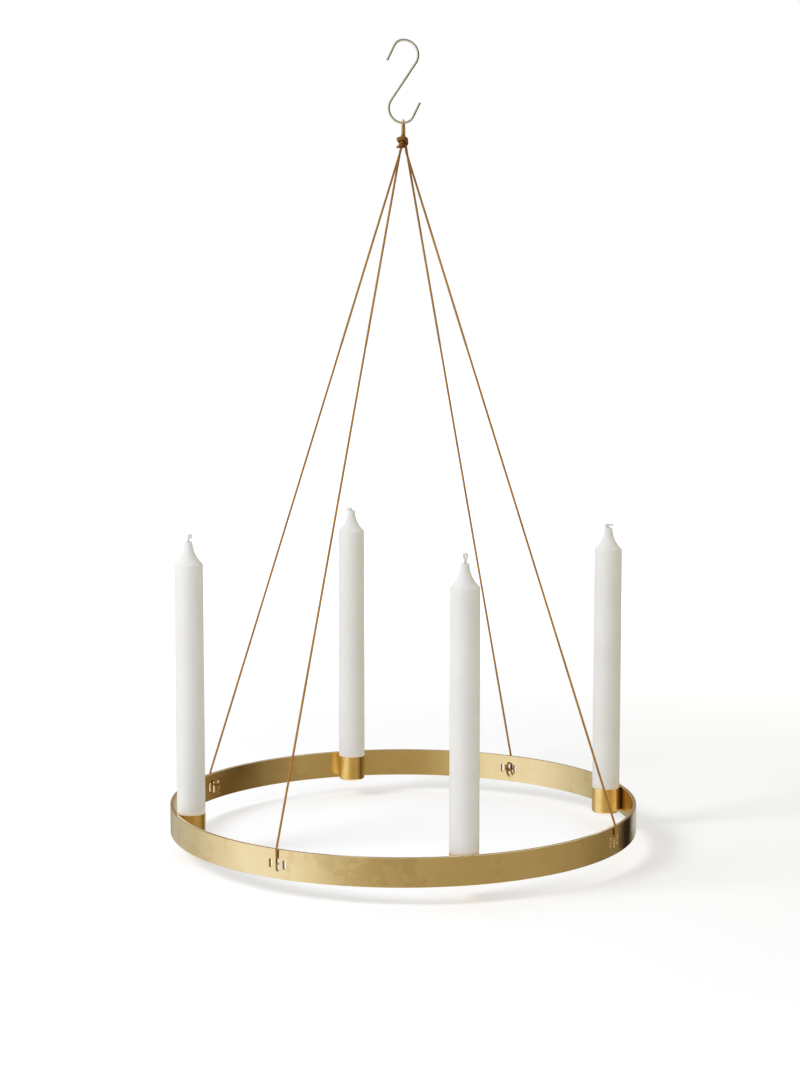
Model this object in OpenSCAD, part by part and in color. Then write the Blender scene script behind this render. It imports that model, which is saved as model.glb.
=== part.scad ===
// Hanging advent candle holder: a flat brass hoop with four candle cups, hung on four
// knotted leather strands from a wire S-hook, with its four crown candles.
// Millimetres, +Z up. The origin is the hanging point, the inside top of the hook's upper bend.
// The front is towards -Y.

/* [Hoop] */
// Outer diameter of the hoop
hoop_d = 400; // [300:1:500]
// Height of the flat band
band_h = 24; // [22:1:40]
// Thickness of the band
band_t = 3; // [2:0.5:4]
// Bevel on the long edges of the band
band_bevel = 0.3; // [0.1:0.1:0.6]

/* [Slots] */
// Width of every slot
slot_w = 3; // [2.4:0.1:4]
// Length of the middle slot, which takes the cord
mid_slot_l = 12; // [10:0.5:16]
// Length of the two slots beside it
side_slot_l = 8; // [6:0.5:12]
// Distance between neighbouring slots
slot_pitch = 6.5; // [5:0.5:10]

/* [Candle cups] */
// Bore of a cup
cup_bore_d = 22; // [18:0.5:26]
// Wall of a cup
cup_wall = 1; // [0.8:0.1:2]
// Thickness of a cup's floor
cup_floor = 1.5; // [1:0.1:3]
// Height of a cup
cup_h = 22; // [16:0.5:30]
// Rounding under a cup
cup_round = 2; // [0.5:0.1:2.4]
// Height of the cups above the lower edge of the band
cup_lift = 1; // [0:0.5:4]
// Width of the brazed seam between cup and band
braze_w = 5; // [3:0.5:8]

/* [Candles] */
// Diameter of a candle above its foot
candle_d = 23.8; // [20:0.1:30]
// Height of a candle from foot to wax tip
candle_h = 251; // [120:1:320]
// Height of the hollowed crown
crown_h = 19; // [12:0.5:26]
// Diameter of the wax tip
tip_d = 6.8; // [5:0.1:9]
// Rounding of the wax tip
tip_round = 1.2; // [0.5:0.1:2]
// Rounding under the body of a candle
candle_round = 2; // [0.5:0.1:4]
// Clearance round the foot in its cup
foot_gap = 0.3; // [0.1:0.05:0.6]
// Taper of the foot, on the radius
foot_taper = 0.5; // [0:0.1:1]
// Clearance between a cup's rim and the candle's body
rim_gap = 0.6; // [0.3:0.1:2]

/* [Wicks] */
// Diameter of a wick
wick_d = 1.3; // [1:0.1:1.6]
// Clearance round a wick in the wax
wick_gap = 0.1; // [0.05:0.01:0.2]

/* [Leather cords] */
// Diameter of a strand
cord_d = 1.8; // [1.4:0.1:2.2]
// Height from the upper edge of the hoop to the underside of the top knot
cord_drop = 553; // [300:1:800]
// Height from the middle of the top knot to the wire that carries the loop
loop_drop = 15.6; // [13:0.1:24]
// Diameter of the squeezed bundle in the top knot
bundle_d = 3; // [2.4:0.1:3.4]
// Air between neighbouring turns of a knot
knot_gap = 0.4; // [0.3:0.05:0.8]
// Length of the cut end below each stopper knot
tail_l = 5; // [3:0.5:12]
// Length of the cut end beside the top knot
top_tail_l = 3.2; // [2.5:0.1:6]

/* [Hook] */
// Height of the S-hook over all
hook_h = 70; // [50:1:100]
// Diameter of the hook's wire
wire_d = 2; // [1.5:0.1:3]
// Lean of the hook's straight middle, in degrees from upright
hook_lean = 34; // [25:1:45]
// Bend radius beside each open end
hook_tip_r = 8.8; // [6:0.1:10]
// Length of each open end
hook_tip_l = 13; // [8:0.5:18]
// Lean of each open end, in degrees from upright
hook_tip_lean = 26; // [10:1:40]

/* [Hidden] */
$fn = 96;

brass = "#d9b978";
cup_brass = "#c99a4c";
leather = "#a0703c";
steel = "#a9a69b";
wax = "#f3f1ea";
cotton = "#e9e7e0";

// Bearings round the hoop, from +X towards +Y
right_deg = 15;
back_deg = 105;
left_deg = 195;
front_deg = 285;
back_right_deg = 60;
back_left_deg = 150;
front_left_deg = 240;
front_right_deg = 330;

// Clearances between pieces that touch
touch_gap = 0.1;
seam_gap = 0.02;
loop_gap = 0.35;
face_gap = 0.3;
cord_gap = 0.2;
cord_bend_gap = 0.65;
cut_over = 1;

// Facets of the swept wire, cords and wicks
wire_sides = 12;
wire_step_deg = 8;
cord_sides = 8;
bundle_sides = 16;
bundle_lobes = 4;
knot_steps = 3;
bend_steps = 3;
slot_bend_steps = 5;
wick_steps = 2;
seam_steps = 8;

// Hook
wire_r = wire_d / 2;
bend_r = (hook_h - wire_d) / 2 / (1 + 1 / sin(hook_lean));
hook_apex_z = wire_r;
hook_mid_z = hook_apex_z - (hook_h - wire_d) / 2;
wire_low_z = hook_apex_z - (hook_h - wire_d);
hook_bevel_share = 0.15;
hook_bevel = wire_d * hook_bevel_share;

// Cords and knots. A knot's route is given for one half, in shares of its pitch;
// the other half is the same, turned half a turn about the second axis.
cord_r = cord_d / 2;
knot_half_shares = [
    [0, 0.9, 0], [-0.8, 0.85, -0.7], [-1.05, 0.1, -1.2], [-0.65, -1.1, -1.2], [0.1, -1.3, -0.95],
    [0.6, -0.65, -0.05], [0.3, -0.15, 0.45], [0, 0, 0.9], [0, 0, 1.6]
];
neck_share = 1.8;
bundle_dip_share = 0.1;
tail_root_shares = [-0.75, -0.3, -0.95];
tail_lean_shares = [-1, -0.15, -0.45];
top_knot_turn = -20;
front_left_knot_turn = 100;
front_right_knot_turn = 40;
back_left_knot_turn = 160;
back_right_knot_turn = 70;
stopper_pitch = cord_d + knot_gap;
top_pitch = bundle_d + knot_gap;
top_knot_half = top_pitch * neck_share;
top_knot_z = wire_low_z - loop_drop;
strand_top_z = top_knot_z - top_knot_half;
strand_start_share = 1.5;
strand_start_r = cord_r * strand_start_share;

// Hoop
hoop_top_z = strand_top_z - cord_drop;
hoop_low_z = hoop_top_z - band_h;
hoop_r = hoop_d / 2;
hoop_in_r = hoop_r - band_t;
slot_z = hoop_low_z + band_h / 2;

// Cups
cup_bore_r = cup_bore_d / 2;
cup_r = cup_bore_r + cup_wall;
cup_at_r = hoop_in_r - cup_r - touch_gap;
cup_low_z = hoop_low_z + cup_lift;
seat_z = cup_low_z + cup_floor;

// Candles
candle_r = candle_d / 2;
foot_r = cup_bore_r - foot_gap;
foot_h = cup_h - cup_floor + rim_gap;
tip_r = tip_d / 2;
crown_step = candle_r - tip_r;
crown_curve_r = (crown_step * crown_step + crown_h * crown_h) / (2 * crown_step);
wick_r = wick_d / 2;

// Wick routes above the wax tip, in shares of the wick's diameter, as seen from the front
wick_front_shares = [
    [0, 0], [-0.2, 1.2], [-0.8, 3.2], [-1.5, 5.4], [-0.8, 6.1], [0.5, 6.2], [1.6, 6.0], [1.9, 5.2],
    [1.5, 3.4], [1.15, 2], [1.15, 0.8]
];
wick_left_shares = [
    [0, 0], [-0.2, 1.1], [-0.7, 2.3], [-0.4, 3.9], [0.7, 4.8], [1.9, 4.4], [2.2, 3.5], [1.6, 2.5],
    [1.2, 1.6], [1.15, 0.8]
];
wick_back_shares = [[0, 0], [-0.1, 0.8], [-0.7, 1.6], [-1.6, 1.6], [-2.5, 1], [-3.3, 0.6]];
wick_right_shares = [
    [0, 0], [-0.6, 0.55], [-1.6, 0.7], [-2, 1.3], [-1.3, 1.85], [0.2, 1.75], [1.8, 1.5], [3.2, 1.35]
];

// Sweep of a section along a route
function unit(v) = v / norm(v);
function spline_point(a, b, c, d, u) =
    (2 * b + (c - a) * u + (2 * a - 5 * b + 4 * c - d) * u * u + (3 * b - a - 3 * c + d) * u * u * u) / 2;
function smooth(pts, steps) =
    let (n = len(pts), ends = concat([2 * pts[0] - pts[1]], pts, [2 * pts[n - 1] - pts[n - 2]]))
    concat(
        [for (i = [0 : n - 2]) for (k = [0 : steps - 1])
            spline_point(ends[i], ends[i + 1], ends[i + 2], ends[i + 3], k / steps)],
        [pts[n - 1]]
    );
function tangents(pts) =
    let (n = len(pts))
    [for (i = [0 : n - 1]) let (a = max(i, 1), b = min(i, n - 2))
        unit(unit(pts[a] - pts[a - 1]) + unit(pts[b + 1] - pts[b]))];
function square_to(v, t) = unit(v - t * (v * t));
function normals(tans, first) = [
    for (i = 0, v = square_to(first, tans[0]); i < len(tans); i = i + 1,
        v = i < len(tans) ? square_to(v, tans[i]) : v) v
];
function round_section(r, sides) = [
    for (k = [0 : sides - 1]) let (a = 360 * k / sides)
        r * [cos(a), sin(a)]
];
function lobed_section(r, lobes, dip_share, sides) = [
    for (k = [0 : sides - 1]) let (a = 360 * k / sides)
        r * (1 - dip_share + dip_share * cos(lobes * a)) * [cos(a), sin(a)]
];
module sweep(pts, section, first, end_scale = 1) {
    sides = len(section);
    tans = tangents(pts);
    ns = normals(tans, first);
    rings = len(pts);
    verts = [for (i = [0 : rings - 1])
        let (b = cross(tans[i], ns[i]), size = i == 0 || i == rings - 1 ? end_scale : 1)
        for (s = section) pts[i] + size * (s[0] * ns[i] + s[1] * b)];
    walls = [for (i = [0 : rings - 2]) for (k = [0 : sides - 1])
        let (a = i * sides + k, b = i * sides + (k + 1) % sides)
        for (f = [[a, a + sides, b], [b, a + sides, b + sides]]) f];
    start_cap = [for (k = [1 : sides - 2]) [0, k, k + 1]];
    last = (rings - 1) * sides;
    end_cap = [for (k = [1 : sides - 2]) [last, last + k + 1, last + k]];
    polyhedron(points = verts, faces = concat(start_cap, walls, end_cap), convexity = 10);
}

// Least air between stretches of a cord that aren't neighbours along its route
function route_gap(pts, wide) =
    min([for (i = [0 : len(pts) - 1]) for (j = [i + 1 : 1 : len(pts) - 1])
        if (route_length(pts, i, j) > 2 * wide) norm(pts[i] - pts[j])]) - wide;
function route_length(pts, i, j) = i >= j ? 0 : norm(pts[i + 1] - pts[i]) + route_length(pts, i + 1, j);

// An overhand knot round the third axis, from its lower to its upper end
function knot_route(pitch) =
    let (half = knot_half_shares, n = len(half))
    concat(
        [for (i = [n - 1 : -1 : 1]) pitch * [-half[i][0], half[i][1], -half[i][2]]],
        [for (p = half) pitch * p]
    );
function turned(p, deg) = [p[0] * cos(deg) - p[1] * sin(deg), p[0] * sin(deg) + p[1] * cos(deg), p[2]];

// Hook: a wire S with two radii in each bend and straight open ends, in the XZ plane.
// Its lower half is the upper half turned half a turn about the middle.
function arc(c, r, from, to) =
    let (n = ceil(abs(to - from) / wire_step_deg))
    [for (k = [0 : n]) let (a = from + (to - from) * k / n) c + r * [cos(a), 0, sin(a)]];
function hook_half_route() =
    let (
        wide = arc([0, 0, hook_apex_z - bend_r], bend_r, -hook_lean, 90),
        narrow = arc([0, 0, hook_apex_z - hook_tip_r], hook_tip_r, 90, 180 - hook_tip_lean),
        out = [-sin(hook_tip_lean), 0, -cos(hook_tip_lean)],
        arm = narrow[len(narrow) - 1]
    )
    concat(wide, [for (k = [1 : len(narrow) - 1]) narrow[k]],
        [arm + out * hook_tip_l, arm + out * (hook_tip_l + hook_bevel)]);
module s_hook() {
    half = hook_half_route();
    lower = [for (k = [len(half) - 1 : -1 : 0]) [-half[k][0], 0, 2 * hook_mid_z - half[k][2]]];
    color(steel)
        sweep(concat(lower, half), round_section(wire_r, wire_sides), [0, 1, 0], 1 - hook_bevel / wire_r);
}

// Loop: one bight of cord over the hook's lower bend, its legs turned to lie side by side.
// Each row of leg_shares is one point: sideways and forward in shares of leg_at, forward in
// shares of the arch's radius, and up in shares of the leg's fall.
arch_r = wire_r + loop_gap + cord_r;
arch_steps = 6;
leg_at_share = 0.76;
leg_at = cord_r * leg_at_share;
leg_shares = [[1, 1, 0, 0], [1, 1, 0, 0.15], [0.7, 0.6, 0.4, 0.55]];
leg_low_z = top_knot_z + top_knot_half + face_gap;
leg_fall = wire_low_z - leg_low_z;
function loop_leg(side) = [
    for (s = leg_shares)
        [side * leg_at * s[0], side * (leg_at * s[1] + arch_r * s[2]), leg_low_z + leg_fall * s[3]]
];
function loop_route() =
    let (leg = loop_leg(1))
    concat(
        loop_leg(-1),
        [for (k = [arch_steps : -1 : 0]) let (a = 180 * k / arch_steps)
            [0, cos(a) * arch_r, wire_low_z + sin(a) * arch_r]],
        [for (i = [len(leg) - 1 : -1 : 0]) leg[i]]
    );
module hanging_loop() {
    color(leather) sweep(smooth(loop_route(), knot_steps), round_section(cord_r, cord_sides), [1, 0, 0]);
}

// Top knot: an overhand knot tied in the bundle of strands, with one cut end at the lower left
module top_knot() {
    ends = [[0, 0, -top_knot_half], [0, 0, top_knot_half]];
    knot = smooth(concat([ends[0]], knot_route(top_pitch), [ends[1]]), knot_steps);
    route = [for (p = knot) turned(p, top_knot_turn)];
    echo(top_knot_least_gap = route_gap(route, bundle_d));
    root = tail_root_shares * top_pitch;
    tail = [root, root + unit(tail_lean_shares) * top_tail_l];
    color(leather) translate([0, 0, top_knot_z]) {
        sweep(route, lobed_section(bundle_d / 2, bundle_lobes, bundle_dip_share, bundle_sides), [1, 0, 0]);
        sweep(tail, round_section(cord_r, cord_sides), [0, 0, 1]);
    }
}

// Strand: from the top knot over the edge of the band, down its face and in through the
// middle slot, ending in an overhand stopper knot with a short cut end. Built along +X.
face_r = hoop_r + cord_r + cord_gap;
bend_cord_r = cord_r + cord_bend_gap;
stopper_tilt = 60;
stopper_run_share = 1.5;
stopper_run = cord_r * stopper_run_share;
stopper_bend_share = 1.1;
stopper_bend_r = cord_d * stopper_bend_share;
slot_pass_z = slot_z + mid_slot_l / 2 - cord_r - cord_gap;
tail_shares = [[0.2, 0], [0.5, 0.1], [0.7, 0.4]];
function strand_lean() =
    let (run = face_r - bend_cord_r - strand_start_r, fall = strand_top_z - cord_r - hoop_top_z)
    atan2(run, fall) + asin(bend_cord_r / norm([run, fall]));
function strand_route(knot_turn) =
    let (
        top_c = [face_r - bend_cord_r, 0, hoop_top_z],
        slot_c = [face_r - bend_cord_r, 0, slot_pass_z + bend_cord_r],
        in_c = [hoop_in_r - stopper_run, 0, slot_pass_z - stopper_bend_r],
        along = [-cos(stopper_tilt), 0, -sin(stopper_tilt)],
        beside = [sin(stopper_tilt), 0, -cos(stopper_tilt)],
        knot_in = in_c + stopper_bend_r * [-sin(stopper_tilt), 0, cos(stopper_tilt)],
        knot_c = knot_in + along * stopper_pitch * neck_share,
        knot_out = knot_c + along * stopper_pitch * neck_share
    )
    concat(
        [[strand_start_r, 0, strand_top_z], [strand_start_r, 0, strand_top_z - cord_r]],
        [for (k = [bend_steps : -1 : 0]) let (a = strand_lean() * k / bend_steps)
            top_c + bend_cord_r * [cos(a), 0, sin(a)]],
        [for (k = [0 : slot_bend_steps]) let (a = 90 * k / slot_bend_steps)
            slot_c + bend_cord_r * [cos(a), 0, -sin(a)]],
        [for (k = [0 : bend_steps]) let (a = stopper_tilt * k / bend_steps)
            in_c + stopper_bend_r * [-sin(a), 0, cos(a)]],
        [for (q = smooth(knot_route(stopper_pitch), knot_steps)) let (p = turned(q, knot_turn))
            knot_c + p[0] * beside + [0, p[1], 0] + p[2] * along],
        [for (s = tail_shares) knot_out + tail_l * (s[0] * along - [0, 0, s[1]])]
    );
module strand(bearing, knot_turn) {
    route = strand_route(knot_turn);
    echo(stopper_least_gap = route_gap([for (p = route) if (p[2] < hoop_top_z) p], cord_d));
    color(leather) rotate([0, 0, bearing]) sweep(route, round_section(cord_r, cord_sides), [0, 1, 0]);
}
module strand_front_left() strand(front_left_deg, front_left_knot_turn);
module strand_front_right() strand(front_right_deg, front_right_knot_turn);
module strand_back_left() strand(back_left_deg, back_left_knot_turn);
module strand_back_right() strand(back_right_deg, back_right_knot_turn);

// Hoop
module slot(length) {
    run = length - slot_w;
    translate([hoop_in_r - cut_over, 0, slot_z]) rotate([90, 0, 90])
        linear_extrude(band_t + 2 * cut_over) {
            square([slot_w, run], center = true);
            for (s = [-1, 1]) translate([0, s * run / 2]) circle(d = slot_w, $fn = 32);
        }
}
module slot_group() {
    step_deg = slot_pitch / hoop_r * 180 / PI;
    slot(mid_slot_l);
    for (s = [-1, 1]) rotate([0, 0, s * step_deg]) slot(side_slot_l);
}
module ring_band() {
    low = hoop_low_z;
    high = hoop_top_z;
    bevel = band_bevel;
    color(brass) difference() {
        rotate_extrude($fn = 180) polygon([
            [hoop_in_r + bevel, low], [hoop_r - bevel, low], [hoop_r, low + bevel],
            [hoop_r, high - bevel], [hoop_r - bevel, high], [hoop_in_r + bevel, high],
            [hoop_in_r, high - bevel], [hoop_in_r, low + bevel]
        ]);
        for (a = [back_right_deg, back_left_deg, front_left_deg, front_right_deg])
            rotate([0, 0, a]) slot_group();
    }
}

// What rounds the corner of a profile: the square less its quarter circle
module corner_cut(r) {
    difference() {
        translate([0, -cut_over]) square([r + cut_over, r + cut_over]);
        translate([0, r]) circle(r = r, $fn = 48);
    }
}

// Cups
module at_cup(bearing) {
    rotate([0, 0, bearing]) translate([cup_at_r, 0, 0]) children();
}
module cup(bearing) {
    color(cup_brass) at_cup(bearing) translate([0, 0, cup_low_z]) difference() {
        rotate_extrude() difference() {
            square([cup_r, cup_h]);
            translate([cup_r - cup_round, 0]) corner_cut(cup_round);
        }
        translate([0, 0, cup_floor]) cylinder(r = cup_bore_r, h = cup_h);
    }
}
module cup_front() cup(front_deg);
module cup_left() cup(left_deg);
module cup_back() cup(back_deg);
module cup_right() cup(right_deg);

// Seams: brazing metal that fills the narrow wedge between a cup and the band
module braze(bearing) {
    half = braze_w / 2;
    steps = [for (k = [-seam_steps : seam_steps]) half * k / seam_steps];
    back_r = cup_r + seam_gap;
    band_side = [for (y = steps) [sqrt(hoop_in_r * hoop_in_r - y * y), y]];
    cup_side = [for (y = steps) [cup_at_r + sqrt(back_r * back_r - y * y), -y]];
    color(brass) rotate([0, 0, bearing]) translate([0, 0, cup_low_z + cup_round])
        linear_extrude(cup_h - 2 * cup_round) polygon(concat(band_side, cup_side));
}
module braze_front() braze(front_deg);
module braze_left() braze(left_deg);
module braze_back() braze(back_deg);
module braze_right() braze(right_deg);

// Candles: tapered foot, plain body with a sharp shoulder, hollowed crown and rounded tip
module candle(bearing) {
    color(wax) at_cup(bearing) translate([0, 0, seat_z]) difference() {
        union() {
            cylinder(r1 = foot_r - foot_taper, r2 = foot_r, h = foot_h);
            rotate_extrude() difference() {
                translate([0, foot_h]) square([candle_r, candle_h - foot_h]);
                translate([candle_r - candle_round, foot_h]) corner_cut(candle_round);
                translate([tip_r + crown_curve_r, candle_h]) circle(r = crown_curve_r, $fn = 240);
                translate([tip_r - tip_round, candle_h]) mirror([0, 1]) corner_cut(tip_round);
            }
        }
        translate([0, 0, -cut_over]) cylinder(r = wick_r + wick_gap, h = candle_h + 2 * cut_over, $fn = 24);
    }
}
module candle_front() candle(front_deg);
module candle_left() candle(left_deg);
module candle_back() candle(back_deg);
module candle_right() candle(right_deg);

// Wicks: straight through the wax, then bent above the tip as in the photograph
module wick(bearing, shares) {
    free = smooth([for (p = shares) [p[0] * wick_d, 0, candle_h + p[1] * wick_d]], wick_steps);
    route = concat([[0, 0, 0]], free);
    color(cotton) at_cup(bearing) translate([0, 0, seat_z]) rotate([0, 0, -bearing])
        sweep(route, round_section(wick_r, cord_sides), [0, 1, 0]);
}
module wick_front() wick(front_deg, wick_front_shares);
module wick_left() wick(left_deg, wick_left_shares);
module wick_back() wick(back_deg, wick_back_shares);
module wick_right() wick(right_deg, wick_right_shares);

s_hook();
hanging_loop();
top_knot();
strand_front_left();
strand_front_right();
strand_back_left();
strand_back_right();
ring_band();
cup_front();
cup_left();
cup_back();
cup_right();
braze_front();
braze_left();
braze_back();
braze_right();
candle_front();
candle_left();
candle_back();
candle_right();
wick_front();
wick_left();
wick_back();
wick_right();
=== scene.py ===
"""Hanging advent candle holder: brushed brass hoop, turned cups, knotted leather, wire hook.

Lengths are written in millimetres, and MM makes them metres. The camera and the studio are in
metres. The origin is the hanging point, inside the top of the hook's upper bend, and the front
is towards -Y.
"""

import math

import bpy
import numpy as np
from mathutils import Matrix, Vector


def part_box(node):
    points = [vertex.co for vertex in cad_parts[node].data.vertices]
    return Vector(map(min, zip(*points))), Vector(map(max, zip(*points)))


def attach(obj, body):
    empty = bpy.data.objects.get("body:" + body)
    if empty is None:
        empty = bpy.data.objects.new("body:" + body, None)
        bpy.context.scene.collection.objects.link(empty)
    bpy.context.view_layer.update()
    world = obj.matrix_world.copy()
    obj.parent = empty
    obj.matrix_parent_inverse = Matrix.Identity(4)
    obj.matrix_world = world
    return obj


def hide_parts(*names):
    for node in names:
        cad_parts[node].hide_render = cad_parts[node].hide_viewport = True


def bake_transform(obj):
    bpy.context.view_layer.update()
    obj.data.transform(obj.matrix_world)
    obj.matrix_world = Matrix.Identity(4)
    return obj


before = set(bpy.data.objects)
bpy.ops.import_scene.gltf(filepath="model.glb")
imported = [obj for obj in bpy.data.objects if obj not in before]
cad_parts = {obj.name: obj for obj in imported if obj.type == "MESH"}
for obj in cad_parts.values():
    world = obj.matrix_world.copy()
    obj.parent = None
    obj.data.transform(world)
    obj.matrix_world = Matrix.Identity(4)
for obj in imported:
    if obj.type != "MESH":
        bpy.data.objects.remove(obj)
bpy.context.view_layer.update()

MM = 0.001

# Hook
WIRE_D = 2
WIRE_R = WIRE_D / 2
HOOK_H = 70
HOOK_LEAN = 34
HOOK_TIP_R = 8.8
HOOK_TIP_L = 13
HOOK_TIP_LEAN = 26
HOOK_APEX_Z = WIRE_R
HOOK_MID_Z = HOOK_APEX_Z - (HOOK_H - WIRE_D) / 2
WIRE_LOW_Z = HOOK_APEX_Z - (HOOK_H - WIRE_D)

# Cords and knots
CORD_D = 1.8
CORD_R = CORD_D / 2
CORD_GAP = 0.2
CORD_BEND_GAP = 0.65
CORD_SIDES = 20
STRAND_SIDES = 14
LOOP_DROP = 15.6
LOOP_GAP = 0.35
# Half an overhand knot's route from its middle to its neck, in shares of its pitch
KNOT_HALF_SHARES = [
    (0, 0.9, 0), (-0.8, 0.85, -0.7), (-1.05, 0.1, -1.2), (-0.65, -1.1, -1.2), (0.1, -1.3, -0.95),
    (0.6, -0.65, -0.05), (0.3, -0.15, 0.45), (0, 0, 0.9), (0, 0, 1.6),
]
NECK_SHARE = 1.8
TIGHT_PITCH = 1.74
TOP_PITCH = 3.4
TOP_TIGHT_PITCH = 2.65
TOP_KNOT_TURN = -80
TOP_KNOT_TILT = 16
TOP_KNOT_HALF = TOP_PITCH * NECK_SHARE
TOP_KNOT_Z = WIRE_LOW_Z - LOOP_DROP
STRAND_TOP_Z = TOP_KNOT_Z - TOP_KNOT_HALF
STOPPER_TILT = 78
STOPPER_BEND_R = 1.1
TAIL_L = 5
TOP_TAIL_L = 3.2

# Hoop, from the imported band
HOOP_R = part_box("ring_band")[1][0] / MM
HOOP_LOW_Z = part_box("ring_band")[0][2] / MM
HOOP_TOP_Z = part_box("ring_band")[1][2] / MM
HOOP_MID_Z = (HOOP_LOW_Z + HOOP_TOP_Z) / 2
BAND_T = 3
HOOP_IN_R = HOOP_R - BAND_T
MID_SLOT_L = 12

# Cups and candles
CUP_R = 12
CUP_GAP = 0.1
CUP_H = 22
CUP_FLOOR = 1.5
CUP_LIFT = 1
CUP_AT_R = HOOP_IN_R - CUP_R - CUP_GAP
RIM_Z = HOOP_LOW_Z + CUP_LIFT + CUP_H
SEAT_Z = HOOP_LOW_Z + CUP_LIFT + CUP_FLOOR
CANDLE_H = 251
WAX_TIP_Z = SEAT_Z + CANDLE_H
WICK_D = 1.3
CANDLE_BEARINGS = {"front": 285, "left": 195, "back": 105, "right": 15}

# Bearing of each strand, and the turn of its stopper knot
STRANDS = {
    "front_left": (240, 285),
    "front_right": (330, 255),
    "back_left": (150, 262),
    "back_right": (60, 276),
}
# Where each strand leaves the top knot, x and y
STRAND_STARTS = {
    "front_left": (-2.5, -0.95),
    "front_right": (1.9, -0.95),
    "back_left": (-2.2, 0.95),
    "back_right": (2.6, 0.95),
}


def cosd(deg):
    return math.cos(math.radians(deg))


def sind(deg):
    return math.sin(math.radians(deg))


# Camera, fitted to the hoop's ellipse, the cords and the candles of the photograph
CAMERA_AT = (-0.0028, -2.0455, -0.1549)
CAMERA_PITCH_DOWN = 0.1248
CAMERA_LENS = 81.8


def photo_camera():
    lens = bpy.data.cameras.new("photo_camera")
    lens.lens = CAMERA_LENS
    camera = bpy.data.objects.new("photo_camera", lens)
    bpy.context.scene.collection.objects.link(camera)
    turn = Matrix.Rotation(math.pi / 2 - CAMERA_PITCH_DOWN, 4, "X")
    camera.matrix_world = Matrix.Translation(CAMERA_AT) @ turn
    bpy.context.scene.camera = camera


photo_camera()


# Curves and swept meshes
def smooth(points, steps):
    """A Catmull-Rom curve through the points, with this many steps between neighbours."""
    p = np.array(points, float)
    p = np.vstack([2 * p[0] - p[1], p, 2 * p[-1] - p[-2]])
    out = []
    for a, b, c, d in zip(p[:-3], p[1:-2], p[2:-1], p[3:]):
        for u in np.arange(steps) / steps:
            out.append((2 * b + (c - a) * u + (2 * a - 5 * b + 4 * c - d) * u**2
                        + (3 * b - a - 3 * c + d) * u**3) / 2)
    return np.array(out + [p[-2]])


def evenly(path, spacing):
    """The same path with points at an even spacing along it."""
    path = np.array(path, float)
    at = np.concatenate([[0], np.cumsum(np.linalg.norm(np.diff(path, axis=0), axis=1))])
    count = max(int(round(at[-1] / spacing)), 2)
    want = np.linspace(0, at[-1], count + 1)
    return np.stack([np.interp(want, at, path[:, k]) for k in range(3)], axis=1)


def along(path):
    """Length from the start of the path to each of its points."""
    steps = np.linalg.norm(np.diff(path, axis=0), axis=1)
    return np.concatenate([[0], np.cumsum(steps)])


def frames(path, first):
    """Tangents, and two directions square to them that don't spin along the path."""
    step = np.diff(path, axis=0)
    step /= np.linalg.norm(step, axis=1)[:, None]
    tangent = np.vstack([step[0], step[:-1] + step[1:], step[-1]])
    tangent /= np.linalg.norm(tangent, axis=1)[:, None]
    across = []
    v = np.array(first, float)
    for t in tangent:
        v = v - t * v.dot(t)
        v /= np.linalg.norm(v)
        across.append(v)
    across = np.array(across)
    return tangent, across, np.cross(tangent, across)


# Rows of a tube's domed end: shares of the dome's depth and of the tube's radius
DOME_SHARES = ((0.6, 0.9), (1, 0.55))


def tube(path, radius, sides, first=(1, 0, 0), cap_round=0.35, length=None):
    """Points, faces and UVs of a closed tube. Radius is one number or one for each point, the
    ends are slightly domed, and the UVs run round the tube and along its length. Where length is
    given, it takes the place of the length along the path in the UVs."""
    path = np.array(path, float)
    radius = np.broadcast_to(np.array(radius, float), (len(path),)).copy()
    tangent, across, beside = frames(path, first)
    length = along(path) if length is None else length
    for end, outward in ((0, -1), (-1, 1)):
        dome = outward * tangent[end] * radius[end] * cap_round
        rows = [path[end] + dome * depth for depth, _ in DOME_SHARES]
        sizes = [radius[end] * width for _, width in DOME_SHARES]
        at = len(path)
        if end == 0:
            rows, sizes, at = rows[::-1], sizes[::-1], 0
        path = np.insert(path, at, rows, axis=0)
        radius = np.insert(radius, at, sizes)
        tangent = np.insert(tangent, at, [tangent[end]] * 2, axis=0)
        across = np.insert(across, at, [across[end]] * 2, axis=0)
        beside = np.insert(beside, at, [beside[end]] * 2, axis=0)
        length = np.insert(length, at, [length[end]] * 2)
    turn = np.arange(sides) * 2 * math.pi / sides
    ring = (np.cos(turn)[None, :, None] * across[:, None, :]
            + np.sin(turn)[None, :, None] * beside[:, None, :])
    points = (path[:, None, :] + radius[:, None, None] * ring).reshape(-1, 3)
    faces, uvs = [], []
    for i in range(len(path) - 1):
        for k in range(sides):
            n = (k + 1) % sides
            faces.append((i * sides + k, i * sides + n, (i + 1) * sides + n, (i + 1) * sides + k))
            uvs += [(k / sides, length[i]), ((k + 1) / sides, length[i]),
                    ((k + 1) / sides, length[i + 1]), (k / sides, length[i + 1])]
    last = (len(path) - 1) * sides
    faces.append(tuple(range(sides - 1, -1, -1)))
    faces.append(tuple(range(last, last + sides)))
    uvs += [(0.5, length[0])] * sides + [(0.5, length[-1])] * sides
    return points, faces, uvs


def piece(name, parts, finish):
    """One mesh object from one or more (points, faces, uvs) in millimetres."""
    points, faces, uvs = [], [], []
    for p, f, u in parts:
        start = len(points)
        points += [tuple(v) for v in np.array(p) * MM]
        faces += [tuple(i + start for i in face) for face in f]
        uvs += u
    mesh = bpy.data.meshes.new(name)
    mesh.from_pydata(points, [], faces)
    layer = mesh.uv_layers.new(name="UVMap")
    layer.data.foreach_set("uv", np.array(uvs, float).ravel())
    mesh.shade_smooth()
    mesh.materials.append(finish)
    made = bpy.data.objects.new(name, mesh)
    bpy.context.scene.collection.objects.link(made)
    return made


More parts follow.
